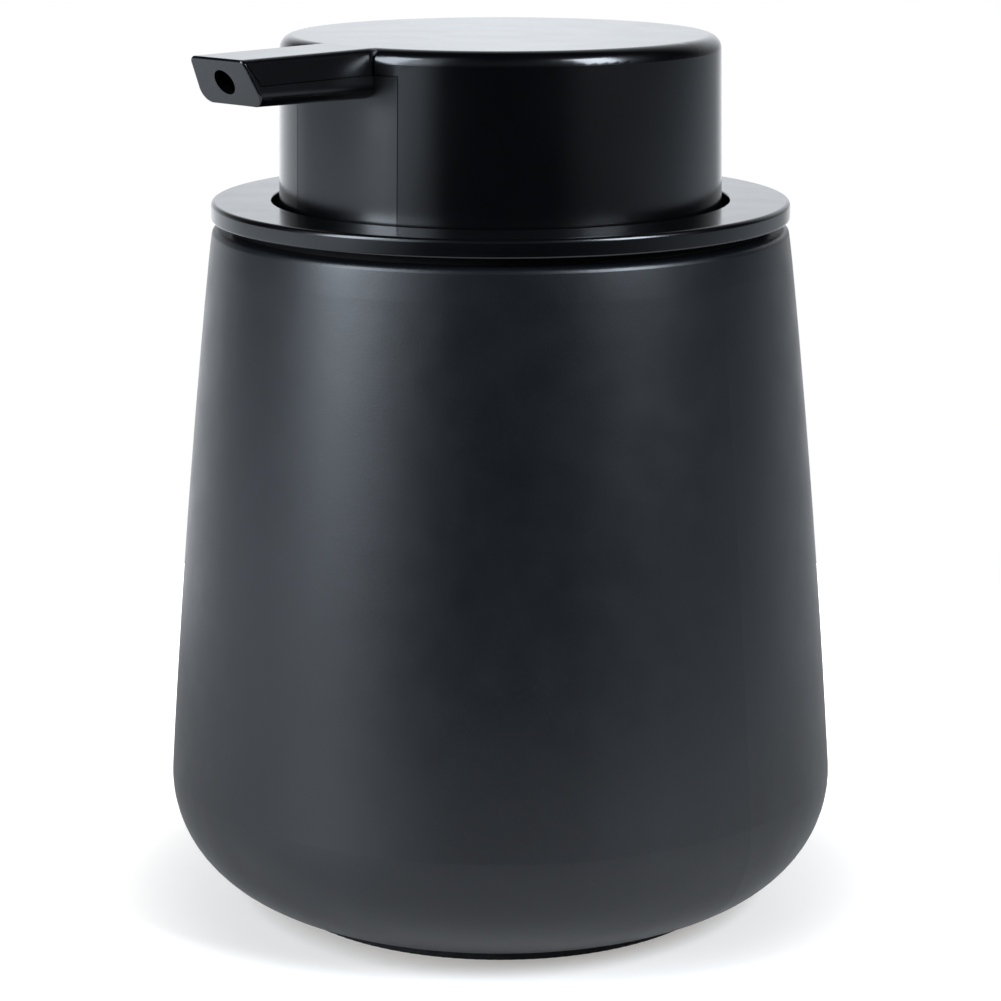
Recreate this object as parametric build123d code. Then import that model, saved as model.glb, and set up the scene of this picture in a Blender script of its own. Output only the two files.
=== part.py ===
from build123d import *
import math
import os

# Soap pump dispenser: a tapered stoneware vessel, a lift-off lid with a round well, and a wide press
# cap with its spout that sinks into the well. Millimetres, +Z up, spout towards -Y, and the origin
# on the vessel's axis at the face it stands on.

# ---------------------------------------------------------------- driving sizes
CLEAR = 0.05            # radial play of pressed-in and running round fits
SEAM = 0.12             # gap that shows as a seam line between two mouldings

# vessel
VESSEL_TOP = 108.6      # height of the rim
VESSEL_R = 53.4         # largest radius, just above the rounded foot
RIM_R = 45.1            # radius at the rim
CREST_R = 45.8          # radius where the wall starts to bend in faster
CREST_H = 5.0           # and how far under the rim that is
CORNER_R = 18.5         # rounding between wall and underside
WALL_LEAN = 4.0         # degrees that the wall leans in where it leaves the corner
VESSEL_WALL = 4.8       # wall and floor
MOUTH_R = 38.5          # bore of the mouth
MOUTH_DEPTH = 12.0      # length of that bore
RIM_ROUND = 1.0
SHOULDER_H = 6.0        # the inside slopes to the mouth over this height
SHOULDER_STEP = 1.8     # and starts wider than the rim's inside by this

# foot pad
PAD_R = 37.0
PAD_T = 1.7
PAD_ROUND = 0.3

# lid
GASKET_T = 1.35         # seal between rim and lid, seen as a dark groove
GASKET_R = 42.0
GASKET_SKIRT_T = 0.7
GASKET_SKIRT_H = 9.0
LIP_GAP = 0.3           # between the seal's lips and the mouth
LIP_LEVELS = (1.0, 4.5) # of the seal's lips, above the skirt's lower end
LIP_RISE = 0.9          # each lip climbs by this to its edge
LIP_EDGE_T = 0.3
RING_R = 45.3
RING_T = 2.9
RING_FLAT_ROUND = 0.7   # upper outer edge of the ring
RING_UNDER_ROUND = 0.4
RING_BORE_ROUND = 0.25
WELL_R = 35.9           # bore that the cap sinks into
WELL_WALL = 1.4
WELL_FLOOR_T = 2.0
WELL_FLANGE_R = 40.2
WELL_FLANGE_T = 1.2
WELL_HOLE_PLAY = 0.3    # between the well's hole and the housing's thread
WELL_OUTER_ROUND = 1.0
WELL_INNER_ROUND = 0.6

# press cap and spout
CAP_TOP = 138.4
CAP_R = 34.2            # radius at the top edge
CAP_DRAFT = 1.0         # degrees, wider downwards
CAP_ROUND = 2.2
CAP_WALL = 2.2
CAP_CEILING = 1.7       # thickness of the top
CAP_LOW_ROUND = 0.5
STROKE = 14.0           # travel of a full press
FLOOR_SPARE = 1.0       # left between cap and well floor after a full press
SPOUT_REACH = 57.85     # from the axis to the top edge of the end face
SPOUT_HEIGHT = 7.1      # depth of the spout at its end
SPOUT_DROOP = 0.2       # the top falls by this much to the tip
SPOUT_RISE = 0.3        # the underside rises by this much to the tip
SPOUT_UNDERCUT = 3.4    # the end face leans back by this much
SPOUT_ROOT_W = 12.5     # widths of its top
SPOUT_TIP_W = 11.6
SPOUT_DRAFT = 8.5       # degrees, its sides spread downwards
SPOUT_TOP_ROUND = 1.0
SPOUT_END_ROUND = 0.35  # all round the end face
SPOUT_UNDER_ROUND = 2.0
SPOUT_WALL = 1.4
CORE_SPARE = 0.3        # taken off each side of the insert's core for the walls' draft
SPOUT_INSIDE = 4.0      # the spout's solid starts this far inside the cap's edge
TOP_FLAT = 2.0          # its top stays level for this far before it droops
SEAM_DROP = 3.75        # the side seam lies this far below the top
END_LEAD = 0.4          # end plate seen from the side, at the top
END_LEAD_SEAM = 1.3     # and at the side seam
PANEL_W = 22.0          # flush front panel under the spout
FLARE = 0.55            # the spout's sides spread by this where they meet the cap
GROOVE = 0.3            # width of the relief beside that flare
GROOVE_DEPTH = 0.8
GROOVE_TOP = 1.0        # its upper end, below the cap's top
OUTLET_R = 2.0          # shallow round mouth in the end face
OUTLET_DEPTH = 2.5
CHANNEL_R = 1.5
THROAT_R = 1.8
WEB_T = 1.6             # stiffening web between panel and socket
COLLAR_WALL = 1.6       # ring under the cap's top that holds the insert's socket
COLLAR_PLAY = 0.15
COLLAR_H = 8.0

# pump
HOUSING_BORE = 7.0
HOUSING_WALL = 1.2
THREAD_R = 9.0
THREAD_SPARE = 2.0      # thread that shows under the clamp nut
HOUSING_FLANGE_R = 12.0
HOUSING_FLANGE_T = 1.6
BARREL_H = 40.6         # from the barrel's floor to the flange's upper face
BARREL_FLOOR_T = 2.0
WASHER_T = 1.0
WASHER_LEDGE = 0.6      # the washer is wider than the housing's flange by this
NUT_R = 14.0
NUT_H = 5.0
NUT_NOTCHES = 12
NUT_NOTCH_R = 1.5
NUT_RIM = 1.2           # width and height of the nut's rim
COLLAR_T = 2.0
COLLAR_R = 11.0
COLLAR_SPIGOT = 4.6
COLLAR_ROUND = 0.6
NECK_R = 6.5
NECK_H = 4.4
NECK_ROUND = 0.5
NECK_SPARE = 2.5        # left between the neck and the socket after a full press
WIPER_R = 5.0
WIPER_T = 1.5
STEM_R = 3.5
STEM_BORE = 2.0
STEM_TOP = 129.0
SOCKET_DEPTH = 9.5
SOCKET_R = 5.6
STEM_CHAMBER_WALL = 0.75
PISTON_H = 9.8
PISTON_PLAY = 0.06
PISTON_WAIST_R = 6.0
PISTON_LIP = 1.6
PISTON_SPARE = 0.2      # between the piston at rest and the collar's spigot
ROD_FLANGE_R = 5.8      # plug in the stem's foot that holds the piston and bears on the spring
ROD_FLANGE_T = 1.2
ROD_BORE = 1.2
ROD_SHANK_H = 8.0
OUTLET_BALL_R = 2.4
OUTLET_CHAMBER = 5.0
INLET_BALL_R = 2.75
INLET_SEAT_R = 2.2
INLET_CHAMBER_R = 3.2
INLET_CHAMBER_H = 6.0
SEAT_SLOPE = 1.0        # height of the cone round a ball's seat
BALL_LIFT_GAP = 0.08    # a seated ball clears the edge of its seat by this
RETAINER_T = 1.4
RETAINER_HUB_R = 1.2
RETAINER_SPOKE_W = 1.2
WIRE_R = 0.45
SPRING_R = 5.0
SPRING_TURNS = 8
TUBE_R = 3.45
TUBE_WALL = 0.8
TUBE_SOCKET_H = 14.0
TUBE_FLOOR_GAP = 2.5
TUBE_NOTCH_W = 1.6      # notch in the tube's foot that lets liquid in
TUBE_NOTCH_H = 2.0
VENT_R = 0.6
VENT_DROP = 2.0         # below the middle of the piston at rest

# ---------------------------------------------------------------- levels and fits that follow
BODY_LOW = PAD_T
CAVITY_LOW = BODY_LOW + VESSEL_WALL
RING_LOW = VESSEL_TOP + GASKET_T
RING_TOP = RING_LOW + RING_T
WELL_OUTER = WELL_R + WELL_WALL
GASKET_IN = WELL_OUTER + CLEAR
SEAM_Z = CAP_TOP - SEAM_DROP
SPOUT_LOW = CAP_TOP - SPOUT_HEIGHT
CEILING_Z = CAP_TOP - CAP_CEILING
CHANNEL_Z = (CAP_TOP - SPOUT_DROOP + SPOUT_LOW) / 2 - 0.1
CORE_HALF = SPOUT_TIP_W / 2 - SPOUT_WALL - CORE_SPARE

SOCKET_LOW = STEM_TOP - SOCKET_DEPTH
NECK_TOP = SOCKET_LOW - STROKE - NECK_SPARE
COLLAR_TOP = NECK_TOP - NECK_H
COLLAR_LOW = COLLAR_TOP - COLLAR_T
FLANGE_LOW = COLLAR_LOW - HOUSING_FLANGE_T
WELL_FLOOR = FLANGE_LOW - WASHER_T
WELL_LOW = WELL_FLOOR - WELL_FLOOR_T
CAP_LOW = WELL_FLOOR + FLOOR_SPARE + STROKE
NUT_LOW = WELL_LOW - NUT_H
BARREL_LOW = COLLAR_LOW - BARREL_H
BARREL_R = HOUSING_BORE + HOUSING_WALL
SEAT_Z = BARREL_LOW - INLET_CHAMBER_H
TUBE_TOP = SEAT_Z - BARREL_FLOOR_T
TUBE_LOW = CAVITY_LOW + TUBE_FLOOR_GAP
SPIGOT_LOW = COLLAR_LOW - COLLAR_SPIGOT
PISTON_TOP = SPIGOT_LOW - PISTON_SPARE
PISTON_LOW = PISTON_TOP - PISTON_H
SPRING_LOW = BARREL_LOW + RETAINER_T
ROD_LOW = PISTON_LOW - ROD_FLANGE_T
CHAMBER_LOW = STEM_TOP - OUTLET_CHAMBER


# ---------------------------------------------------------------- helpers
def disc(radius, low, high):
    return Pos(0, 0, low) * Cylinder(radius, high - low, align=(Align.CENTER, Align.CENTER, Align.MIN))


def tube(outer, inner, low, high):
    return disc(outer, low, high) - disc(inner, low - 1, high + 1)


def block(half_width, front, back, low, high):
    """A box from y=front to y=back, centred on x=0."""
    box = Box(2 * half_width, back - front, high - low, align=(Align.CENTER, Align.MIN, Align.MIN))
    return Pos(0, front, low) * box


def turned(*points):
    """A solid of revolution from (radius, height) corners."""
    outline = Polyline([(radius, 0, height) for radius, height in points], close=True)
    return revolve(make_face(outline), axis=Axis.Z)


def ring_edges(solid, radius, height):
    """Circular edges of one radius at one height."""
    circles = solid.edges().filter_by(GeomType.CIRCLE)
    return [e for e in circles if abs(e.radius - radius) < 0.01 and abs(e.center().Z - height) < 0.01]


def cap_radius(height):
    return CAP_R + (CAP_TOP - height) * math.tan(math.radians(CAP_DRAFT))


def cone_shell(low, high, wall):
    """The drafted wall of the cap between two heights."""
    return turned(
        (cap_radius(low) - wall, low),
        (cap_radius(low), low),
        (cap_radius(high), high),
        (cap_radius(high) - wall, high),
    )


# ---------------------------------------------------------------- vessel
def vessel_outline(inset, floor, top, top_radius, crest=None):
    """Outline of the vessel's outside, or of its inside when inset by the wall. The crest is a point
    on the outside where the wall starts to bend in faster, up to the rim."""
    lean = math.radians(WALL_LEAN)
    corner = CORNER_R - inset
    centre_r = VESSEL_R - CORNER_R
    centre_z = BODY_LOW + CORNER_R
    foot = Vector(centre_r, 0, centre_z - corner)
    side = Vector(centre_r + corner * math.cos(lean), 0, centre_z + corner * math.sin(lean))
    halfway = math.radians(WALL_LEAN / 2 - 45)
    belly = Vector(centre_r + corner * math.cos(halfway), 0, centre_z + corner * math.sin(halfway))
    under = Line((0, 0, floor), foot)
    bend = ThreePointArc(foot, belly, side)
    upper = crest or (top_radius, 0, top)
    wall = TangentArc([side, upper], tangent=(-math.sin(lean), 0, math.cos(lean)))
    walls = [wall, TangentArc([upper, (top_radius, 0, top)], tangent=wall % 1)] if crest else [wall]
    lid = Line((top_radius, 0, top), (0, 0, top))
    axis = Line((0, 0, top), (0, 0, floor))
    return make_face([under, bend, *walls, lid, axis])


def make_vessel():
    neck_low = VESSEL_TOP - MOUTH_DEPTH
    shoulder = neck_low - SHOULDER_H
    crest = (CREST_R, 0, VESSEL_TOP - CREST_H)
    outside = revolve(vessel_outline(0, BODY_LOW, VESSEL_TOP, RIM_R, crest), axis=Axis.Z)
    inner_r = RIM_R + SHOULDER_STEP - VESSEL_WALL
    hollow = revolve(vessel_outline(VESSEL_WALL, CAVITY_LOW, shoulder, inner_r), axis=Axis.Z)
    throat = turned((0, shoulder), (inner_r, shoulder), (MOUTH_R, neck_low), (0, neck_low))
    body = outside - hollow - throat - disc(MOUTH_R, neck_low, VESSEL_TOP + 1)
    body = fillet(ring_edges(body, RIM_R, VESSEL_TOP), RIM_ROUND)
    return fillet(ring_edges(body, MOUTH_R, VESSEL_TOP), RIM_ROUND / 2)


def make_foot_pad():
    pad = disc(PAD_R, 0, PAD_T)
    return fillet(ring_edges(pad, PAD_R, 0), PAD_ROUND)


# ---------------------------------------------------------------- lid
def make_lid_ring():
    ring = tube(RING_R, WELL_R, RING_LOW, RING_TOP)
    ring -= disc(WELL_FLANGE_R + CLEAR, RING_LOW - 1, RING_LOW + WELL_FLANGE_T)
    ring = fillet(ring_edges(ring, RING_R, RING_TOP), RING_FLAT_ROUND)
    ring = fillet(ring_edges(ring, WELL_R, RING_TOP), RING_BORE_ROUND)
    return fillet(ring_edges(ring, RING_R, RING_LOW), RING_UNDER_ROUND)


def make_pump_well():
    hole = THREAD_R + WELL_HOLE_PLAY
    flange_top = RING_LOW + WELL_FLANGE_T
    well = turned(
        (hole, WELL_LOW),
        (WELL_OUTER, WELL_LOW),
        (WELL_OUTER, RING_LOW),
        (WELL_FLANGE_R, RING_LOW),
        (WELL_FLANGE_R, flange_top),
        (WELL_R, flange_top),
        (WELL_R, WELL_FLOOR),
        (hole, WELL_FLOOR),
    )
    well = fillet(ring_edges(well, WELL_OUTER, WELL_LOW), WELL_OUTER_ROUND)
    return fillet(ring_edges(well, WELL_R, WELL_FLOOR), WELL_INNER_ROUND)


def make_mouth_gasket():
    skirt = GASKET_IN + GASKET_SKIRT_T
    lip = MOUTH_R - LIP_GAP
    low = VESSEL_TOP - GASKET_SKIRT_H
    gasket = tube(GASKET_R, GASKET_IN, VESSEL_TOP, RING_LOW) + tube(skirt, GASKET_IN, low, VESSEL_TOP)
    for level in LIP_LEVELS:
        root, edge = low + level, low + level + LIP_RISE
        edge_top = edge + LIP_EDGE_T
        gasket += turned((GASKET_IN, root), (lip, edge), (lip, edge_top), (GASKET_IN, edge_top + LIP_RISE))
    return gasket


def make_housing_washer():
    return tube(HOUSING_FLANGE_R + WASHER_LEDGE, THREAD_R + CLEAR, WELL_FLOOR, FLANGE_LOW)


def make_clamp_nut():
    rim_low = WELL_LOW - NUT_RIM
    nut = tube(NUT_R, THREAD_R + CLEAR, NUT_LOW, rim_low)
    for i in range(NUT_NOTCHES):
        notch = disc(NUT_NOTCH_R, NUT_LOW - 1, rim_low)
        nut -= Rot(0, 0, i * 360 / NUT_NOTCHES) * Pos(NUT_R + NUT_NOTCH_R / 3, 0, 0) * notch
    return nut + tube(NUT_R + NUT_RIM, THREAD_R + CLEAR, rim_low, WELL_LOW)


# ---------------------------------------------------------------- pump
def make_pump_housing():
    neck = INLET_CHAMBER_R + HOUSING_WALL
    socket = TUBE_R + CLEAR + HOUSING_WALL
    socket_low = TUBE_TOP - TUBE_SOCKET_H
    thread_low = NUT_LOW - THREAD_SPARE
    seat_top = SEAT_Z + SEAT_SLOPE
    body = disc(HOUSING_FLANGE_R, FLANGE_LOW, COLLAR_LOW)
    body += disc(THREAD_R, thread_low, FLANGE_LOW)
    body += disc(BARREL_R, BARREL_LOW - BARREL_FLOOR_T, thread_low)
    body += disc(max(neck, socket), socket_low, BARREL_LOW - BARREL_FLOOR_T)
    body -= disc(HOUSING_BORE, BARREL_LOW, COLLAR_LOW + 1)
    body -= disc(INLET_CHAMBER_R, seat_top, BARREL_LOW)
    body -= turned((0, SEAT_Z), (INLET_SEAT_R, SEAT_Z), (INLET_CHAMBER_R, seat_top), (0, seat_top))
    body -= disc(INLET_SEAT_R, TUBE_TOP, SEAT_Z)
    body -= disc(TUBE_R + CLEAR, socket_low - 1, TUBE_TOP)
    vent = Cylinder(VENT_R, THREAD_R + 1, align=(Align.CENTER, Align.CENTER, Align.MIN))
    return body - Pos(0, 0, (PISTON_TOP + PISTON_LOW) / 2 - VENT_DROP) * Rot(0, 90, 0) * vent


def make_guide_collar():
    bore = STEM_R + PISTON_PLAY
    collar = disc(COLLAR_R, COLLAR_LOW, COLLAR_TOP) + disc(NECK_R, COLLAR_TOP, NECK_TOP)
    collar = fillet(ring_edges(collar, COLLAR_R, COLLAR_TOP), COLLAR_ROUND)
    collar = fillet(ring_edges(collar, NECK_R, NECK_TOP), NECK_ROUND)
    collar += disc(HOUSING_BORE - CLEAR, SPIGOT_LOW, COLLAR_LOW)
    collar -= disc(bore, SPIGOT_LOW - 1, NECK_TOP + 1)
    return collar - disc(WIPER_R, NECK_TOP - WIPER_T, NECK_TOP + 1)


def make_stem_wiper():
    return tube(WIPER_R - CLEAR, STEM_R + PISTON_PLAY, NECK_TOP - WIPER_T, NECK_TOP)


def make_ball_retainer():
    outer = HOUSING_BORE - CLEAR
    high = BARREL_LOW + RETAINER_T
    plate = tube(outer, INLET_CHAMBER_R, BARREL_LOW, high) + disc(RETAINER_HUB_R, BARREL_LOW, high)
    for i in range(3):
        spoke = block(RETAINER_SPOKE_W / 2, 0, INLET_CHAMBER_R + 1, BARREL_LOW, high)
        plate += Rot(0, 0, i * 120) * spoke
    return plate


def make_return_spring():
    bottom = SPRING_LOW + WIRE_R + CLEAR
    height = ROD_LOW - SPRING_LOW - 2 * (WIRE_R + CLEAR)
    coil = Helix(height / SPRING_TURNS, height, SPRING_R, center=(0, 0, bottom))
    section = Plane(coil @ 0, z_dir=coil % 0) * Circle(WIRE_R)
    return sweep(section, path=coil)


def make_piston():
    lip = HOUSING_BORE - PISTON_PLAY
    bore = STEM_R + CLEAR
    return turned(
        (bore, PISTON_LOW),
        (lip, PISTON_LOW),
        (lip, PISTON_LOW + PISTON_LIP),
        (PISTON_WAIST_R, PISTON_LOW + 2 * PISTON_LIP),
        (PISTON_WAIST_R, PISTON_TOP - 2 * PISTON_LIP),
        (lip, PISTON_TOP - PISTON_LIP),
        (lip, PISTON_TOP),
        (bore, PISTON_TOP),
    )


def make_piston_rod():
    shank = STEM_BORE - CLEAR
    rod = disc(ROD_FLANGE_R, ROD_LOW, PISTON_LOW) + disc(shank, PISTON_LOW, PISTON_LOW + ROD_SHANK_H)
    return rod - disc(ROD_BORE, ROD_LOW - 1, PISTON_LOW + ROD_SHANK_H + 1)


def make_stem():
    chamber = STEM_R - STEM_CHAMBER_WALL
    return turned(
        (STEM_BORE, PISTON_LOW),
        (STEM_R, PISTON_LOW),
        (STEM_R, STEM_TOP),
        (chamber, STEM_TOP),
        (chamber, CHAMBER_LOW + SEAT_SLOPE),
        (STEM_BORE, CHAMBER_LOW),
    )


def seated_ball(radius, seat_radius, seat_height):
    rise = math.sqrt(radius**2 - seat_radius**2) + BALL_LIFT_GAP
    return Pos(0, 0, seat_height + rise) * Sphere(radius)


def make_dip_tube():
    pipe = tube(TUBE_R, TUBE_R - TUBE_WALL, TUBE_LOW, TUBE_TOP)
    return pipe - Pos(0, 0, TUBE_LOW) * Box(TUBE_NOTCH_W, 4 * TUBE_R, 2 * TUBE_NOTCH_H)


# ---------------------------------------------------------------- press cap and spout
def spout_solid():
    """The whole spout, before it is parted into cover and insert."""
    tip = CAP_TOP - SPOUT_DROOP
    root = CAP_R - SPOUT_INSIDE
    outline = Polyline(
        [
            (0, -root, CAP_TOP),
            (0, -root - TOP_FLAT, CAP_TOP),
            (0, -SPOUT_REACH, tip),
            (0, SPOUT_UNDERCUT - SPOUT_REACH, SPOUT_LOW),
            (0, -root, SPOUT_LOW - SPOUT_RISE),
        ],
        close=True,
    )
    side = extrude(make_face(outline), SPOUT_ROOT_W, dir=(1, 0, 0), both=True)
    half_root = SPOUT_ROOT_W / 2
    half_tip = SPOUT_TIP_W / 2
    front = -SPOUT_REACH - 1
    plan = make_face(
        Polyline(
            [(-half_root, -root), (half_root, -root), (half_tip, front), (-half_tip, front)], close=True
        )
    )
    draft = Pos(0, 0, CAP_TOP) * extrude(plan, SPOUT_HEIGHT + 1, dir=(0, 0, -1), taper=-SPOUT_DRAFT)
    spout = side & draft & block(SPOUT_ROOT_W, front, -root, SPOUT_LOW - 1, CAP_TOP)
    for low, high, radius in (
        (SPOUT_LOW - 1, SPOUT_LOW + 1, SPOUT_UNDER_ROUND),
        (tip - 1, CAP_TOP + 1, SPOUT_TOP_ROUND),
    ):
        long_edges = [e for e in spout.edges() if e.length > 15 and abs(e.center().X) > half_tip / 2]
        spout = fillet([e for e in long_edges if low < e.center().Z < high], radius)
    return fillet(spout.faces().sort_by(Axis.Y)[0].edges(), SPOUT_END_ROUND)


def spout_flare():
    """The two small webs that spread the spout's upper sides into the round wall of the cap."""
    half = SPOUT_ROOT_W / 2
    wall_y = -math.sqrt(CAP_R**2 - (half + FLARE) ** 2)
    low = SEAM_Z
    web = Pos(half - 1, wall_y - FLARE, low) * Box(
        1 + FLARE, 1 + FLARE, CAP_TOP - low, align=(Align.MIN, Align.MIN, Align.MIN)
    )
    web -= Pos(half + FLARE, wall_y - FLARE, 0) * disc(FLARE, low - 1, CAP_TOP + 1)
    rounded = disc(CAP_R + 2 * FLARE, low, CAP_TOP)
    rounded = fillet(ring_edges(rounded, CAP_R + 2 * FLARE, CAP_TOP), CAP_ROUND + FLARE)
    web = web & rounded
    return web + mirror(web, about=Plane.YZ)


def cover_zone(shrink):
    """Side view of the cover's share of the spout: above the side seam and behind the end plate."""
    tip = CAP_TOP - SPOUT_DROOP
    lean = SPOUT_UNDERCUT / (tip - SPOUT_LOW)
    seam_tip = SEAM_Z - SPOUT_DROOP
    seam_front = -SPOUT_REACH + lean * (tip - seam_tip) + END_LEAD_SEAM + shrink
    top_front = -SPOUT_REACH + END_LEAD + shrink
    rise = (seam_front - top_front) / (tip - seam_tip)
    outline = Polyline(
        [
            (0, 0, SEAM_Z + shrink),
            (0, -CAP_R, SEAM_Z + shrink),
            (0, seam_front, seam_tip + shrink),
            (0, top_front - 3 * rise, tip + 3),
            (0, 0, tip + 3),
        ],
        close=True,
    )
    return extrude(make_face(outline), SPOUT_ROOT_W, dir=(1, 0, 0), both=True)


def make_head_cover():
    inner_low = cap_radius(CAP_LOW) - CAP_WALL
    inner_high = cap_radius(CEILING_Z) - CAP_WALL
    cover = turned((0, CAP_LOW), (cap_radius(CAP_LOW), CAP_LOW), (CAP_R, CAP_TOP), (0, CAP_TOP))
    cover = fillet(ring_edges(cover, CAP_R, CAP_TOP), CAP_ROUND)
    cover = fillet(ring_edges(cover, cap_radius(CAP_LOW), CAP_LOW), CAP_LOW_ROUND)
    cover -= turned((0, CAP_LOW - 1), (inner_low, CAP_LOW - 1), (inner_high, CEILING_Z), (0, CEILING_Z))
    cover += spout_solid() & cover_zone(0)
    cover += spout_flare()
    cover -= block(PANEL_W / 2, -cap_radius(CAP_LOW) - 0.1, -CAP_R / 2, CAP_LOW - 1, SEAM_Z)
    cover -= block(CORE_HALF, -SPOUT_REACH - 1, -CAP_R / 2, SEAM_Z - 1, CEILING_Z)
    for side in (-1, 1):
        half = SPOUT_ROOT_W / 2 + FLARE + GROOVE / 2
        depth = math.sqrt(CAP_R**2 - half**2)
        low, high = -depth - GROOVE_DEPTH, -depth + GROOVE_DEPTH
        groove = block(GROOVE / 2, low, high, SEAM_Z, CAP_TOP - GROOVE_TOP)
        cover -= Pos(side * half, 0, 0) * groove
    collar_in = SOCKET_R + COLLAR_PLAY
    collar = tube(collar_in + COLLAR_WALL, collar_in, CEILING_Z - COLLAR_H, CEILING_Z + 0.1)
    collar -= block(CORE_HALF + 0.1, -SOCKET_R * 2, 0, CEILING_Z - COLLAR_H - 1, CEILING_Z)
    return cover + collar


def make_spout_insert():
    core_top = CEILING_Z - SEAM
    panel_half = PANEL_W / 2 - SEAM
    panel_top = SEAM_Z - SEAM
    back = -CAP_R + CAP_WALL + 1.0
    insert = spout_solid() - cover_zone(-SEAM)
    insert -= block(SPOUT_ROOT_W, back, 0, SPOUT_LOW - 1, CAP_TOP)
    panel = block(panel_half, -CAP_R * 2, -CAP_R / 2, CAP_LOW, panel_top)
    insert += cone_shell(CAP_LOW, panel_top, CAP_WALL) & panel
    core = block(CORE_HALF - SEAM, -SPOUT_REACH, 0, SPOUT_LOW + 0.6, core_top)
    insert += core & (spout_solid() + block(SPOUT_ROOT_W, back - 1, 0, SPOUT_LOW, CAP_TOP))
    insert += disc(SOCKET_R, SOCKET_LOW, core_top)
    insert += block(WEB_T / 2, -CAP_R + CAP_WALL / 2, -SOCKET_R / 2, SOCKET_LOW + 4, SPOUT_LOW + 1)
    insert -= disc(STEM_R + PISTON_PLAY, SOCKET_LOW - 1, STEM_TOP + 0.1)
    insert -= disc(THROAT_R, STEM_TOP, CHANNEL_Z + CHANNEL_R + 0.15)
    channel = Cylinder(CHANNEL_R, SPOUT_REACH + 1, align=(Align.CENTER, Align.CENTER, Align.MIN))
    insert -= Pos(0, 0, CHANNEL_Z) * Rot(90, 0, 0) * channel
    tip = CAP_TOP - SPOUT_DROOP
    lean = SPOUT_UNDERCUT / (tip - SPOUT_LOW)
    face_y = -SPOUT_REACH + lean * (tip - CHANNEL_Z)
    outlet = Cylinder(OUTLET_R, 6, align=(Align.CENTER, Align.CENTER, Align.MIN))
    outlet = Rot(90, 0, 0) * Pos(0, 0, -OUTLET_DEPTH) * outlet
    return insert - Pos(0, face_y, CHANNEL_Z) * Rot(math.degrees(math.atan(lean)), 0, 0) * outlet


# ---------------------------------------------------------------- nodes
NODES = {
    "vessel": make_vessel(),
    "foot_pad": make_foot_pad(),
    "lid_ring": make_lid_ring(),
    "pump_well": make_pump_well(),
    "mouth_gasket": make_mouth_gasket(),
    "housing_washer": make_housing_washer(),
    "clamp_nut": make_clamp_nut(),
    "pump_housing": make_pump_housing(),
    "guide_collar": make_guide_collar(),
    "stem_wiper": make_stem_wiper(),
    "ball_retainer": make_ball_retainer(),
    "inlet_ball": seated_ball(INLET_BALL_R, INLET_SEAT_R, SEAT_Z),
    "dip_tube": make_dip_tube(),
    "return_spring": make_return_spring(),
    "piston": make_piston(),
    "piston_rod": make_piston_rod(),
    "stem": make_stem(),
    "outlet_ball": seated_ball(OUTLET_BALL_R, STEM_BORE, CHAMBER_LOW),
    "head_cover": make_head_cover(),
    "spout_insert": make_spout_insert(),
}

os.makedirs("parts", exist_ok=True)
for node, shape in NODES.items():
    export_step(shape, f"parts/{node}.step")
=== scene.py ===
# %% [markdown]
# # A soap pump dispenser
# A stoneware vessel carries a round lid, and a wide press cap with a spout sinks into a well in that
# lid when it is pressed. The engineering model already holds every piece at its true size and place,
# so this lesson loads it as a fixed frame and adds what makes it look real: finishes with the detail
# of the real ones, a wound spring with closed end turns, a lid ring turned with finer steps,
# and a small photo studio. All lengths are metres unless a name or a note says millimetres.

# %% Load the frame
import math

import bmesh
import bpy
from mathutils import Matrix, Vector


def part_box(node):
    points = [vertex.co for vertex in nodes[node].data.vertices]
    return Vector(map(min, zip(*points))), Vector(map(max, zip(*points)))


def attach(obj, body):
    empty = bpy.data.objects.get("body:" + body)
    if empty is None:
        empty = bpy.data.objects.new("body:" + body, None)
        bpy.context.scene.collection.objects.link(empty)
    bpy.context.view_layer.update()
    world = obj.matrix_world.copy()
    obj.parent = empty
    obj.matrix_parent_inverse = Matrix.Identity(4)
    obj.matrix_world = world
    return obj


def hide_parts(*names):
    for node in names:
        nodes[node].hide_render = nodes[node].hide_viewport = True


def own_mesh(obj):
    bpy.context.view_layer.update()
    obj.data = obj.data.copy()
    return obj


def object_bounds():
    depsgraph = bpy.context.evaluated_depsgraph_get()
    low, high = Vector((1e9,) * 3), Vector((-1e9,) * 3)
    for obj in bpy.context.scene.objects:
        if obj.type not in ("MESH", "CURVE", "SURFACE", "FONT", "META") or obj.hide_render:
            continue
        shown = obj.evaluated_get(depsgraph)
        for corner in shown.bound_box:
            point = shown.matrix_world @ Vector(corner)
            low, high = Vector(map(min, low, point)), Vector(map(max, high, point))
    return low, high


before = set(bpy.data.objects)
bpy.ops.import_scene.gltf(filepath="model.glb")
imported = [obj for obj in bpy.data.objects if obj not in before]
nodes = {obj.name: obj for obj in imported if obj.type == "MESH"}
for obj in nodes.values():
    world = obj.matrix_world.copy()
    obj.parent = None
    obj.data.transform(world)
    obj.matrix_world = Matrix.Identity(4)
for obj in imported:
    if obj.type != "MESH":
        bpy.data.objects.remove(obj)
frame_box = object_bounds()
print(len(nodes), "CAD nodes, box", [round(x, 4) for corner in frame_box for x in corner])

# %% [markdown]
# ## Effects that several finishes share
# Moulded plastic, glaze, rubber and steel all need the same few effects: slow clouds in how rough the
# surface is, a fine grain, sparse specks, and the hairlines that a tool leaves. Painting each one by
# hand in every material would repeat the same nodes, so each effect is one node group with named
# inputs, and a finish places it with its own values. Every size in them is in millimetres, because a
# maker thinks in millimetres, and the group turns it into the scale that a texture wants.


# %% Helpers that build node groups
MM_PER_M = 1000.0
NOISE_LOW, NOISE_HIGH = 0.3, 0.7    # nearly all of a noise texture's values lie between these


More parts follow.
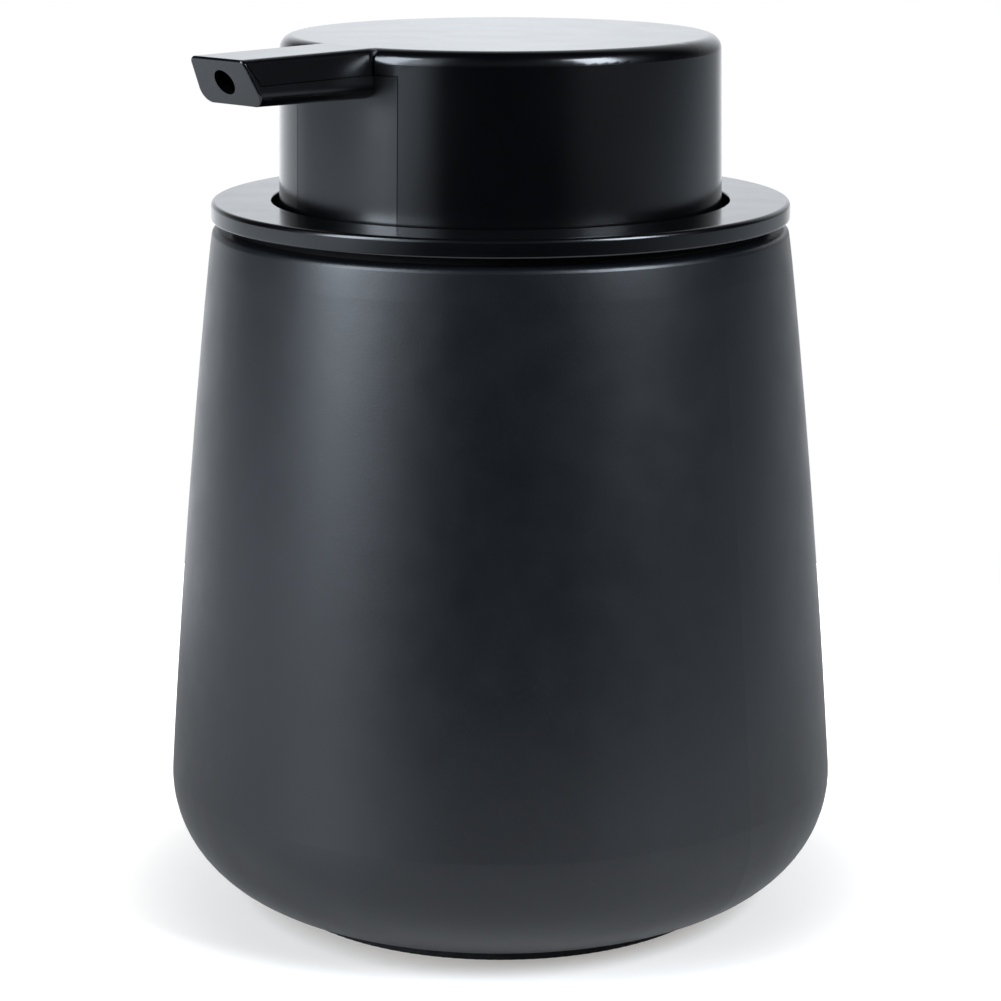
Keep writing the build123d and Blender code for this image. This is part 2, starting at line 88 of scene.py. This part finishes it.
def new_group(name, inputs, outputs):
    """An empty shader group with number inputs and outputs, and its two end nodes."""
    tree = bpy.data.node_groups.new(name, "ShaderNodeTree")
    for label, value in inputs.items():
        socket = tree.interface.new_socket(label, in_out="INPUT", socket_type="NodeSocketFloat")
        socket.default_value = value
    for label in outputs:
        tree.interface.new_socket(label, in_out="OUTPUT", socket_type="NodeSocketFloat")
    return tree, tree.nodes.new("NodeGroupInput"), tree.nodes.new("NodeGroupOutput")


def add(tree, kind, links=None, **settings):
    """A shader node with its settings, and its inputs linked or set by name or number."""
    node = tree.nodes.new("ShaderNode" + kind)
    for key, value in settings.items():
        setattr(node, key, value)
    for key, value in (links or {}).items():
        if isinstance(value, bpy.types.NodeSocket):
            tree.links.new(value, node.inputs[key])
        else:
            node.inputs[key].default_value = value
    return node


def scale_from_mm(tree, size):
    """Texture scale for a pattern whose cells are about size millimetres across."""
    return add(tree, "Math", {0: MM_PER_M, 1: size}, operation="DIVIDE").outputs[0]


def object_place(tree):
    """The point on the object itself, so that a pattern moves with its piece."""
    return add(tree, "TexCoord").outputs["Object"]


print("helpers for node groups ready")

# %% [markdown]
# ### Clouds
# No real surface is equally glossy everywhere. It could be painted unevenly by hand, but soft noise,
# about a centimetre wide, does the same with no seams: it moves a value gently between a low and a
# high. Most finishes use it for roughness and for a slight change of colour.

# %% Clouds group
clouds, enter, leave = new_group("clouds", {"Size mm": 20.0, "Low": 0.4, "High": 0.5}, ["Value"])
wide = scale_from_mm(clouds, enter.outputs["Size mm"])
noise = add(clouds, "TexNoise", {"Vector": object_place(clouds), "Scale": wide, "Detail": 3.0})
spread = add(clouds, "MapRange", {
    0: noise.outputs["Fac"], 1: NOISE_LOW, 2: NOISE_HIGH,
    3: enter.outputs["Low"], 4: enter.outputs["High"]})
clouds.links.new(spread.outputs[0], leave.inputs["Value"])
print("group", clouds.name)

# %% [markdown]
# ### Grain
# A mould's surface is spark-eroded or blasted, and a glaze dries with a skin, so both carry a relief
# finer than a millimetre. It is far too fine to model, so a bump takes its height from here: noise
# gives the uneven ground and Voronoi cells the tiny pits.

# %% Grain group
grain, enter, leave = new_group("grain", {"Size mm": 0.4, "Pits": 0.4}, ["Height"])
fine = scale_from_mm(grain, enter.outputs["Size mm"])
ground = add(grain, "TexNoise", {"Vector": object_place(grain), "Scale": fine, "Detail": 2.0})
cells = add(grain, "TexVoronoi", {"Vector": object_place(grain), "Scale": fine}, feature="SMOOTH_F1")
mixed = add(grain, "Mix", {
    0: enter.outputs["Pits"], 2: ground.outputs["Fac"], 3: cells.outputs["Distance"]})
grain.links.new(mixed.outputs[0], leave.inputs["Height"])
print("group", grain.name)

# %% [markdown]
# ### Specks
# Minerals in a stoneware body show through the glaze as dots of different sizes. Noise has no clear
# dots, so each Voronoi cell draws one: the cell's own random colour says whether its dot shows (red)
# and how large it is (green).

# %% Specks group
specks, enter, leave = new_group("specks", {"Size mm": 1.0, "Share": 0.3, "Dot": 0.2}, ["Mask"])
cells = add(specks, "TexVoronoi", {
    "Vector": object_place(specks), "Scale": scale_from_mm(specks, enter.outputs["Size mm"])})
lot = add(specks, "SeparateColor", {0: cells.outputs["Color"]})
chosen = add(specks, "Math", {0: lot.outputs["Red"], 1: enter.outputs["Share"]}, operation="LESS_THAN")
radius = add(specks, "Math", {0: lot.outputs["Green"], 1: enter.outputs["Dot"]}, operation="MULTIPLY")
dot = add(specks, "MapRange", {
    0: cells.outputs["Distance"], 1: radius.outputs[0], 2: 0.0, 3: 0.0, 4: 1.0})
mask = add(specks, "Math", {0: dot.outputs[0], 1: chosen.outputs[0]}, operation="MULTIPLY")
specks.links.new(mask.outputs[0], leave.inputs["Mask"])
print("group", specks.name)

# %% [markdown]
# ### Hairlines
# Drawn wire, ground steel and extruded tube keep fine lines along the way they were made. The same
# noise makes them once it is stretched along the object's height.

# %% Hairlines group
hairlines, enter, leave = new_group(
    "hairlines", {"Across mm": 0.2, "Along": 0.02, "Low": 0.3, "High": 0.45}, ["Value", "Height"])
place = add(hairlines, "SeparateXYZ", {0: object_place(hairlines)})
drawn = add(hairlines, "Math", {0: place.outputs["Z"], 1: enter.outputs["Along"]}, operation="MULTIPLY")
squeezed = add(hairlines, "CombineXYZ", {
    0: place.outputs["X"], 1: place.outputs["Y"], 2: drawn.outputs[0]})
fine = scale_from_mm(hairlines, enter.outputs["Across mm"])
lines = add(hairlines, "TexNoise", {"Vector": squeezed.outputs[0], "Scale": fine, "Detail": 2.0})
spread = add(hairlines, "MapRange", {
    0: lines.outputs["Fac"], 1: NOISE_LOW, 2: NOISE_HIGH,
    3: enter.outputs["Low"], 4: enter.outputs["High"]})
hairlines.links.new(spread.outputs[0], leave.inputs["Value"])
hairlines.links.new(lines.outputs["Fac"], leave.inputs["Height"])
print("group", hairlines.name)


# %% [markdown]
# ## Finishes
# Each finish is one Principled shader. Numbers that are the same all over sit on the shader's own
# sockets, and only what changes over the surface comes from the groups.


# %% Helpers that build a finish
def new_finish(name, **constants):
    """A material whose Principled shader has some sockets set, such as Transmission_Weight=0.4."""
    material = bpy.data.materials.new(name)
    material.use_nodes = True
    shader = material.node_tree.nodes["Principled BSDF"]
    for key, value in constants.items():
        shader.inputs[key.replace("_", " ")].default_value = value
    return material, material.node_tree, shader


def place_group(tree, group, **values):
    """A node group placed in a material with its own values, such as Size_mm=9."""
    node = tree.nodes.new("ShaderNodeGroup")
    node.node_tree = group
    for key, value in values.items():
        node.inputs[key.replace("_", " ")].default_value = value
    return node


def relief(tree, shader, height, depth_mm, under=None):
    """Bump of a real depth in millimetres. A second relief can lie under it."""
    bump = add(tree, "Bump", {"Height": height, "Distance": depth_mm / MM_PER_M, "Strength": 1.0})
    if under:
        tree.links.new(under.outputs["Normal"], bump.inputs["Normal"])
    tree.links.new(bump.outputs["Normal"], shader.inputs["Normal"])


def two_tone(tree, shader, mask, base, other):
    """Base Color between two colours by a mask. Gives back the mixed colour's socket."""
    mix = add(tree, "Mix", {0: mask, 6: (*base, 1), 7: (*other, 1)}, data_type="RGBA")
    tree.links.new(mix.outputs[2], shader.inputs["Base Color"])
    return mix.outputs[2]


def finish_node(node, material):
    """Give a CAD node its finish."""
    nodes[node].data.materials.clear()
    nodes[node].data.materials.append(material)


print("helpers for finishes ready")

# %% [markdown]
# ### Glaze of the vessel
# The vessel has a dry anthracite glaze, a little blue, with very fine paler flecks. A plain grey
# shader would look like paint, so the colour wanders between two greys, specks break it up, and two
# reliefs, one broad and one fine, make the highlight crumble at its border.

# %% Vessel glaze
GLAZE_DARK, GLAZE_LIGHT = (0.0010, 0.0017, 0.0030), (0.0022, 0.0031, 0.0050)
FLECK = (0.010, 0.012, 0.015)
SWELL_MM, SKIN_MM = 0.006, 0.010    # depths of the broad and the fine relief

glaze, tree, shader = new_finish("vessel_glaze", IOR=1.5)
broad = place_group(tree, clouds, Size_mm=9.0, Low=0.0, High=1.0)
shade = two_tone(tree, shader, broad.outputs[0], GLAZE_DARK, GLAZE_LIGHT)
flecks = place_group(tree, specks, Size_mm=0.35, Share=0.5, Dot=0.45)
flecked = add(tree, "Mix", {0: flecks.outputs[0], 6: shade, 7: (*FLECK, 1)}, data_type="RGBA")
tree.links.new(flecked.outputs[2], shader.inputs["Base Color"])
gloss = place_group(tree, clouds, Size_mm=6.0, Low=0.34, High=0.38)
tree.links.new(gloss.outputs[0], shader.inputs["Roughness"])
swell = place_group(tree, clouds, Size_mm=5.0, Low=0.0, High=1.0)
skin = place_group(tree, grain, Size_mm=0.28, Pits=0.5)
wave = add(tree, "Bump", {"Height": swell.outputs[0], "Distance": SWELL_MM / MM_PER_M})
relief(tree, shader, skin.outputs[0], SKIN_MM, under=wave)
finish_node("vessel", glaze)
print("finish", glaze.name)


# %% [markdown]
# ### Moulded plastics
# Cap, spout, ring and well are satin black mouldings. They differ in how the steel of their mould was
# finished, so one function makes the family and each member gets its own gloss.

# %% Moulded plastics
BLACK, SOFT_BLACK = (0.0008, 0.0009, 0.0012), (0.0016, 0.0018, 0.0022)


def moulded(name, colour, other, gloss_low, gloss_high, grain_mm, depth_mm, ior):
    """A moulded plastic: two close tones, uneven gloss and the fine grain of its mould."""
    material, tree, shader = new_finish(name, IOR=ior)
    tone = place_group(tree, clouds, Size_mm=14.0, Low=0.0, High=1.0)
    two_tone(tree, shader, tone.outputs[0], colour, other)
    gloss = place_group(tree, clouds, Size_mm=8.0, Low=gloss_low, High=gloss_high)
    tree.links.new(gloss.outputs[0], shader.inputs["Roughness"])
    skin = place_group(tree, grain, Size_mm=grain_mm, Pits=0.3)
    relief(tree, shader, skin.outputs[0], depth_mm)
    return material


BLACKS = {
    # node: (material name, gloss from, gloss to)
    "head_cover": ("cap_satin", 0.185, 0.200),
    "spout_insert": ("spout_satin", 0.20, 0.24),
    "lid_ring": ("ring_satin", 0.19, 0.22),
    "pump_well": ("well_satin", 0.30, 0.36),
}
for node, (name, low, high) in BLACKS.items():
    finish_node(node, moulded(
        name, BLACK, SOFT_BLACK, low, high, grain_mm=0.30, depth_mm=0.0016, ior=1.5))
    print("finish", name, "on", node)

# %% [markdown]
# ### Mouldings inside
# Nobody looks at the pump's inside, so most of its mouldings are left uncoloured, milky or pale, and
# only the guide collar is black. They are moulded just as the cap is, so the same function makes
# them, with a coarser grain.

# %% Mouldings inside
INNER = {
    # node: (material name, colour, other colour, gloss from, gloss to)
    "clamp_nut": ("nut_white", (0.72, 0.73, 0.72), (0.78, 0.78, 0.76), 0.34, 0.42),
    "pump_housing": ("housing_milky", (0.70, 0.74, 0.76), (0.78, 0.80, 0.80), 0.30, 0.38),
    "guide_collar": ("collar_black", (0.010, 0.010, 0.011), (0.014, 0.014, 0.015), 0.32, 0.42),
    "stem": ("stem_pale", (0.62, 0.64, 0.64), (0.70, 0.71, 0.70), 0.24, 0.32),
    "piston": ("piston_pale", (0.66, 0.68, 0.70), (0.74, 0.75, 0.76), 0.36, 0.46),
    "piston_rod": ("rod_milky", (0.70, 0.74, 0.76), (0.78, 0.80, 0.80), 0.30, 0.38),
    "ball_retainer": ("retainer_pale", (0.66, 0.68, 0.70), (0.74, 0.75, 0.76), 0.36, 0.46),
}
for node, (name, colour, other, low, high) in INNER.items():
    finish_node(node, moulded(
        name, colour, other, low, high, grain_mm=0.5, depth_mm=0.004, ior=1.49))
    print("finish", name, "on", node)

# %% [markdown]
# ### Dip tube
# The tube is extruded from natural polyethylene: cloudy, and clear enough for light to glow through.
# Scattering under the surface would look much the same and cost more, so some transmission with a
# rough surface does it, and hairlines run along the pull.

# %% Dip tube
tube, tree, shader = new_finish("tube_cloudy", IOR=1.5, Transmission_Weight=0.45)
pull = place_group(tree, hairlines, Across_mm=0.5, Along=0.01, Low=0.30, High=0.42)
two_tone(tree, shader, pull.outputs["Height"], (0.74, 0.77, 0.78), (0.84, 0.86, 0.86))
tree.links.new(pull.outputs["Value"], shader.inputs["Roughness"])
relief(tree, shader, pull.outputs["Height"], depth_mm=0.02)
finish_node("dip_tube", tube)
print("finish", tube.name)


# %% [markdown]
# ### Soft seals and the foot pad
# The gasket, washer and wiper are black silicone, far duller than the plastics. The foot pad is
# closed-cell foam, with burst bubbles on its face. Both are the grain group at different depths, so
# one function makes both, and a low index of refraction takes away most of the shine.

# %% Soft seals
def rubber(name, colour, other, cell_mm, depth_mm, pits):
    """A dull soft black whose bubbles show in its colour and its relief."""
    material, tree, shader = new_finish(name, IOR=1.25)
    bubbles = place_group(tree, grain, Size_mm=cell_mm, Pits=pits)
    two_tone(tree, shader, bubbles.outputs[0], colour, other)
    gloss = place_group(tree, clouds, Size_mm=7.0, Low=0.62, High=0.74)
    tree.links.new(gloss.outputs[0], shader.inputs["Roughness"])
    relief(tree, shader, bubbles.outputs[0], depth_mm)
    return material


silicone = rubber(
    "seal_silicone", (0.0008, 0.0008, 0.0009), (0.0016, 0.0016, 0.0018),
    cell_mm=0.5, depth_mm=0.01, pits=0.3)
foam = rubber(
    "pad_foam", (0.008, 0.008, 0.009), (0.022, 0.022, 0.024), cell_mm=0.7, depth_mm=0.12, pits=0.9)
for node in ("mouth_gasket", "housing_washer", "stem_wiper"):
    finish_node(node, silicone)
finish_node("foot_pad", foam)
print("finish", silicone.name, foam.name)


# %% [markdown]
# ### Steel
# The valve balls are ground and polished stainless steel, and the spring is drawn wire. Both are
# metals, so the colour is the tint of the reflection, and hairlines vary how sharp it is.

# %% Steel
def steel(name, tint, other, across_mm, along, gloss_low, gloss_high, depth_mm):
    """Bare steel whose hairlines change its tint, its sharpness and its relief."""
    material, tree, shader = new_finish(name, Metallic=1.0)
    lines = place_group(
        tree, hairlines, Across_mm=across_mm, Along=along, Low=gloss_low, High=gloss_high)
    two_tone(tree, shader, lines.outputs["Height"], tint, other)
    tree.links.new(lines.outputs["Value"], shader.inputs["Roughness"])
    relief(tree, shader, lines.outputs["Height"], depth_mm)
    return material


polished = steel(
    "steel_polished", (0.62, 0.62, 0.61), (0.72, 0.72, 0.71),
    across_mm=0.30, along=1.0, gloss_low=0.06, gloss_high=0.12, depth_mm=0.0004)
wire_steel = steel(
    "steel_wire", (0.50, 0.50, 0.49), (0.62, 0.61, 0.59),
    across_mm=0.15, along=0.3, gloss_low=0.20, gloss_high=0.34, depth_mm=0.003)
finish_node("inlet_ball", polished)
finish_node("outlet_ball", polished)
print("finish", polished.name, wire_steel.name)

# %% [markdown]
# ## The return spring
# The engineering model's spring is one even helix. A real one is wound from wire whose end turns lie
# flat and touch their seats, so the pitch starts at almost nothing, opens up, and closes again. A
# Screw modifier has one pitch only, so the height of the wire is worked out turn by turn instead,
# between the lowest and highest point of the engineering model's spring.

# %% Pitch of the spring
WIRE_R = 0.00045
TURNS = 8
STEPS_PER_TURN = 28
DEAD_TURNS = 1.0        # closed turns at each end
CLOSED_PITCH = 2.1      # of a closed turn, in wire radii: the wire just clears itself
spring_low, spring_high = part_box("return_spring")
coil_r = spring_high.x - WIRE_R
start_z, end_z = spring_low.z + WIRE_R, spring_high.z - WIRE_R
dead_rise = CLOSED_PITCH * WIRE_R * DEAD_TURNS


def coil_height(turn):
    """Height of the wire's centre after so many turns: slow at both ends, even between."""
    if turn < DEAD_TURNS:
        return start_z + dead_rise * turn / DEAD_TURNS
    if turn > TURNS - DEAD_TURNS:
        return end_z - dead_rise * (TURNS - turn) / DEAD_TURNS
    share = (turn - DEAD_TURNS) / (TURNS - 2 * DEAD_TURNS)
    return start_z + dead_rise + share * (end_z - start_z - 2 * dead_rise)


print("open pitch mm", round((coil_height(5) - coil_height(4)) * MM_PER_M, 3))

# %% [markdown]
# The wire's line is a curve, and the curve's own bevel gives it a round section. It is then turned
# into a mesh.

# %% Wind the spring
line = bpy.data.curves.new("return_spring_wound", "CURVE")
line.dimensions = "3D"
line.bevel_depth = WIRE_R
line.bevel_resolution = 4
line.use_fill_caps = True
path = line.splines.new("POLY")
path.points.add(TURNS * STEPS_PER_TURN)
for i, point in enumerate(path.points):
    turn = i / STEPS_PER_TURN
    angle = 2 * math.pi * turn
    point.co = (coil_r * math.cos(angle), coil_r * math.sin(angle), coil_height(turn), 1)
wound = bpy.data.objects.new("return_spring_wound", line)
bpy.context.scene.collection.objects.link(wound)
bpy.context.view_layer.update()
mesh = bpy.data.meshes.new_from_object(wound.evaluated_get(bpy.context.evaluated_depsgraph_get()))
bpy.data.objects.remove(wound)
spring = bpy.data.objects.new("return_spring_wound", mesh)
bpy.context.scene.collection.objects.link(spring)
mesh.materials.clear()
mesh.materials.append(wire_steel)
for face in mesh.polygons:
    face.use_smooth = True
print("spring", len(mesh.vertices), "vertices")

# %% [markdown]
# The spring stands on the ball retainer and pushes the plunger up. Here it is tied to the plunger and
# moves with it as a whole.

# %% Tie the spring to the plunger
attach(spring, "plunger")
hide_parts("return_spring")
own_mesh(spring)

# %% [markdown]
# ## The lid ring
# The engineering model's mesh draws the ring with few facets, and a satin black edge shows every one
# of them. The ring is a plain turned shape, so it is turned again here with many steps: an outline of
# corners, each with its rounding, spun round the axis. A Bevel modifier on a tube would do it too, but
# with the same rounding everywhere, and the real ring is softer outside than at its bore.


# %% Outline with rounded corners
def rounded_outline(corners, steps=8):
    """Points of a closed outline (r, z) whose corners (r, z, round) are turned into arcs."""
    points = []
    for i, (r, z, rounding) in enumerate(corners):
        here = Vector((r, z))
        back = (Vector(corners[i - 1][:2]) - here).normalized()
        onward = (Vector(corners[(i + 1) % len(corners)][:2]) - here).normalized()
        if not rounding:
            points.append(here)
            continue
        half = math.acos(back.dot(onward)) / 2      # half of the corner's angle
        middle = here + (back + onward).normalized() * rounding / math.sin(half)
        spread = math.pi / 2 - half                 # half of the arc that replaces the corner
        out = (here - middle).normalized()
        way = 1 if back.x * onward.y - back.y * onward.x < 0 else -1    # left or right turn
        for k in range(steps + 1):
            a = way * spread * (2 * k / steps - 1)
            points.append(middle + rounding * Vector((
                out.x * math.cos(a) - out.y * math.sin(a), out.x * math.sin(a) + out.y * math.cos(a))))
    return points


SQUARE = ((0, 0, 0), (1, 0, 0), (1, 1, 0.2), (0, 1, 0))
print("a square with one round corner has", len(rounded_outline(SQUARE)), "points")

# %% [markdown]
# The outline is spun point by point, which gives clean bands of faces. Its normals follow the face
# areas, so the flats stay flat in a reflection and only the rounds bend it.

# %% Spin an outline
CRISP_FROM = math.radians(35)       # a corner sharper than this keeps its edge


def turned_piece(name, outline, segments=256):
    """A ring spun from a closed outline of (r, z) points, with smooth rounds and crisp corners."""
    verts, faces, count = [], [], len(outline)
    for s in range(segments):
        a = 2 * math.pi * s / segments
        verts += [(p.x * math.cos(a), p.x * math.sin(a), p.y) for p in outline]
        here, there = s * count, (s + 1) % segments * count
        for i in range(count):
            j = (i + 1) % count
            faces.append((here + i, here + j, there + j, there + i))
    data = bpy.data.meshes.new(name)
    data.from_pydata(verts, [], faces)
    shell = bmesh.new()
    shell.from_mesh(data)
    bmesh.ops.recalc_face_normals(shell, faces=shell.faces)
    shell.to_mesh(data)
    shell.free()
    for face in data.polygons:
        face.use_smooth = True
    data.set_sharp_from_angle(angle=CRISP_FROM)
    obj = bpy.data.objects.new(name, data)
    bpy.context.scene.collection.objects.link(obj)
    even = obj.modifiers.new("even_flats", "WEIGHTED_NORMAL")
    even.keep_sharp = True
    return obj


print("spinner ready, crisp from", round(math.degrees(CRISP_FROM)), "degrees")

# %% [markdown]
# The ring's outer radius and its heights come from its own box. Its bore and the seat for the well's
# flange are the engineering model's sizes, written again here, because a box doesn't show them.

# %% Turn the ring
BORE_R = 0.0359
RECESS_R, RECESS_H = 0.04025, 0.0012    # the seat of the well's flange
UNDER_ROUND, TOP_ROUND, BORE_ROUND = 0.0004, 0.0007, 0.00025
ring_low, ring_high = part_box("lid_ring")
lathed = turned_piece("lid_ring_turned", rounded_outline([
    (RECESS_R, ring_low.z, 0),
    (ring_high.x, ring_low.z, UNDER_ROUND),
    (ring_high.x, ring_high.z, TOP_ROUND),
    (BORE_R, ring_high.z, BORE_ROUND),
    (BORE_R, ring_low.z + RECESS_H, 0),
    (RECESS_R, ring_low.z + RECESS_H, 0),
]))
lathed.data.materials.append(nodes["lid_ring"].data.materials[0])
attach(lathed, "lid")
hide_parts("lid_ring")
print("ring", len(lathed.data.vertices), "vertices")

# %% [markdown]
# ## Studio
# The object stands on a pale floor. A softbox stands at each side towards the front and draws the two
# bright zones of the vessel. The space behind the camera stays dark, which is what leaves the black
# band down the middle of the cap. The world stands for the rest of the room, and the camera itself
# sees plain white. Places are given as a studio hand would: so far round, so high, so far away.

# %% Studio directions
VIEW_AZIMUTH = math.radians(44.5)
centre = Vector((0, 0, (frame_box[0].z + frame_box[1].z) / 2))


def studio_place(azimuth, elevation, distance):
    """A place round the object: azimuth 0 is the camera's side, and it grows to the camera's right."""
    a = VIEW_AZIMUTH + math.radians(azimuth)
    e = math.radians(elevation)
    return centre + distance * Vector((
        math.sin(a) * math.cos(e), -math.cos(a) * math.cos(e), math.sin(e)))


print("studio centre", [round(x, 4) for x in centre])

# %% [markdown]
# ### Softboxes
# A bare lamp would leave a hard spot on the gloss. A softbox is a wide cloth with a lamp behind it,
# and an area light is the same thing: its height sets how far down the vessel its glow reaches.

# %% Lights
COOL = (0.90, 1.0, 1.12)            # a slightly blue daylight
SOFTBOX_FAR, SOFTBOX_WIDE = 0.9, 0.3


def softbox(name, azimuth, elevation, height, power):
    """An area light that faces the object's centre."""
    data = bpy.data.lights.new(name, "AREA")
    data.shape = "RECTANGLE"
    data.color = COOL
    data.size, data.size_y, data.energy = SOFTBOX_WIDE, height, power
    lamp = bpy.data.objects.new(name, data)
    lamp.location = studio_place(azimuth, elevation, SOFTBOX_FAR)
    lamp.rotation_euler = (centre - lamp.location).to_track_quat("-Z", "Y").to_euler()
    bpy.context.scene.collection.objects.link(lamp)
    print(name, "at", [round(x, 3) for x in lamp.location])


softbox("softbox_left", azimuth=-62, elevation=27, height=0.72, power=8.6)
softbox("softbox_right", azimuth=54, elevation=33, height=0.45, power=8.8)

# %% [markdown]
# ### The room
# A glossy black thing is mostly a picture of its room, so the room is drawn with some care: three
# rings of brightness, below eye level, at it and above it. Each ring is a ramp round the object, and
# the height of a ray blends one ring into the next, up to a dark ceiling. Walls and lamps for all of
# this would be slower and noisier, and would show up in a view from another side.

# %% The room in numbers
AROUND = (-180, -150, -120, -90, -60, -45, -30, 30, 45, 90, 120, 150, 180)  # 0 is the camera's side
RINGS = (
    # (sine of the ring's height, brightness at each azimuth)
    (-0.17, (2.0, 1.23, 1.1, 1.68, 0.7, 0.0, 0.0, 0.0, 0.0, 0.6, 0.8, 0.6, 2.0)),
    (0.00, (1.53, 1.22, 0.0, 0.0, 2.3, 1.57, 0.0, 0.0, 0.24, 0.0, 0.08, 0.45, 1.53)),
    (0.30, (1.51, 0.15, 0.0, 0.0, 0.0, 5.47, 0.1, 0.15, 0.54, 0.0, 0.0, 0.91, 1.51)),
    (0.90, (0.0,) * len(AROUND)),
)
BACKDROP = (0.96, 1.0, 1.05)        # the colour of the room behind the object
BACKDROP_FROM = 140                 # and the azimuth from which it stands there
print("rings", len(RINGS), "with", len(AROUND), "values each")

# %% [markdown]
# A ray's direction gives two numbers: its azimuth, from the camera's side, which drives the ramps,
# and its height, which blends them.

# %% Directions in the room
world = bpy.data.worlds.new("studio_room")
bpy.context.scene.world = world
world.use_nodes = True
tree = world.node_tree
tree.nodes.clear()
ray = add(tree, "TexCoord").outputs["Generated"]
facing = add(tree, "Mapping", {"Vector": ray, "Rotation": (0, 0, -VIEW_AZIMUTH)}, vector_type="POINT")
part = add(tree, "SeparateXYZ", {0: facing.outputs[0]})
depth = add(tree, "Math", {0: part.outputs["Y"], 1: -1.0}, operation="MULTIPLY")
around = add(tree, "Math", {0: part.outputs["X"], 1: depth.outputs[0]}, operation="ARCTAN2")
round_room = add(tree, "MapRange", {0: around.outputs[0], 1: -math.pi, 2: math.pi, 3: 0.0, 4: 1.0})
print("world", world.name)


# %% [markdown]
# Each ring becomes one colour ramp, and the camera sees plain white in place of them all.

# %% World
def room_ramp(levels):
    """One ring of the room as a colour ramp over the azimuth."""
    ramp = add(tree, "ValToRGB", {0: round_room.outputs[0]})
    elements = ramp.color_ramp.elements
    elements.remove(elements[-1])
    for i, (azimuth, level) in enumerate(zip(AROUND, levels)):
        element = elements[0] if i == 0 else elements.new((azimuth + 180) / 360)
        element.position = (azimuth + 180) / 360
        tint = BACKDROP if abs(azimuth) > BACKDROP_FROM else COOL
        element.color = (*(level * channel for channel in tint), 1)
    return ramp.outputs["Color"]


room = room_ramp(RINGS[0][1])
for (low, _), (high, levels) in zip(RINGS, RINGS[1:]):
    above = add(tree, "MapRange", {0: part.outputs["Z"], 1: low, 2: high, 3: 0.0, 4: 1.0})
    blend = add(tree, "Mix", {0: above.outputs[0], 6: room, 7: room_ramp(levels)}, data_type="RGBA")
    room = blend.outputs[2]
sight = add(tree, "LightPath")
seen = add(tree, "Mix", {0: sight.outputs["Is Camera Ray"], 6: room, 7: (1, 1, 1, 1)}, data_type="RGBA")
background = add(tree, "Background", {"Color": seen.outputs[2], "Strength": 1.0})
out = tree.nodes.new("ShaderNodeOutputWorld")
tree.links.new(background.outputs[0], out.inputs["Surface"])
print("world with", len(tree.nodes), "nodes")

# %% [markdown]
# ### The floor
# A studio floor is swept up into a white backdrop, so it has no far edge. Here a disc stands for it,
# and a glow that only the camera sees fills it up to white away from the object. Close to the foot a
# little of that glow stays, which lifts the shadow.

# %% Floor
FLOOR_R, FLOOR_SIDES = 0.22, 128
FLOOR_GAP = 0.00005     # the foot stands just clear of the disc
SHADOW_LIFT, WHITE_GLOW = 0.31, 1.1         # the glow close to the foot, and far from it
LIFT_FROM, WHITE_FROM = 0.046, 0.095        # radii where the glow starts to grow, and is full
floor_mesh = bpy.data.meshes.new("floor")
turns = [2 * math.pi * i / FLOOR_SIDES for i in range(FLOOR_SIDES)]
rim = [(FLOOR_R * math.cos(turn), FLOOR_R * math.sin(turn), 0) for turn in turns]
floor_mesh.from_pydata(rim, [], [list(range(FLOOR_SIDES))])
floor = bpy.data.objects.new("floor", floor_mesh)
floor.location.z = -FLOOR_GAP
bpy.context.scene.collection.objects.link(floor)
print("floor radius", FLOOR_R)

# %% [markdown]
# The disc's own colour is a warm pale grey, and the glow is an emission whose strength grows with the
# distance from the object's axis.

# %% Floor finish
floor_finish, tree, shader = new_finish("floor_pale", Roughness=0.6)
shader.inputs["Base Color"].default_value = (0.78, 0.74, 0.70, 1)
shader.inputs["Emission Color"].default_value = (1.0, 0.96, 0.91, 1)
away = add(tree, "VectorMath", {0: object_place(tree)}, operation="LENGTH")
filled = add(tree, "MapRange", {
    0: away.outputs["Value"], 1: LIFT_FROM, 2: WHITE_FROM, 3: SHADOW_LIFT, 4: WHITE_GLOW},
    interpolation_type="SMOOTHSTEP")
lift = add(tree, "LightPath")
glow = add(tree, "Math", {0: lift.outputs["Is Camera Ray"], 1: filled.outputs[0]}, operation="MULTIPLY")
tree.links.new(glow.outputs[0], shader.inputs["Emission Strength"])
floor_mesh.materials.append(floor_finish)
print("finish", floor_finish.name)

# %% [markdown]
# ## Camera
# A long lens a little above the lid looks down on the object, with the spout turned to the left. A
# short lens would come closer and make the lid too large for the foot. The 'Standard' view keeps the
# colours as they are lit.

# %% Camera
LENS, SENSOR = 109.87, 36           # millimetres
PITCH = math.radians(13.31)         # how far the camera looks down
CAMERA_FAR, CAMERA_HIGH = 0.4776, 0.1769    # from the axis, and above the floor
camera_data = bpy.data.cameras.new("camera")
camera_data.lens = LENS
camera_data.sensor_width = SENSOR
camera = bpy.data.objects.new("camera", camera_data)
bpy.context.scene.collection.objects.link(camera)
camera.location = (
    CAMERA_FAR * math.sin(VIEW_AZIMUTH), -CAMERA_FAR * math.cos(VIEW_AZIMUTH), CAMERA_HIGH)
forward = Vector((
    -math.sin(VIEW_AZIMUTH) * math.cos(PITCH),
    math.cos(VIEW_AZIMUTH) * math.cos(PITCH),
    -math.sin(PITCH)))
camera.rotation_euler = forward.to_track_quat("-Z", "Y").to_euler()
bpy.context.scene.camera = camera
bpy.context.scene.view_settings.view_transform = "Standard"
print("camera at", [round(x, 3) for x in camera.location])
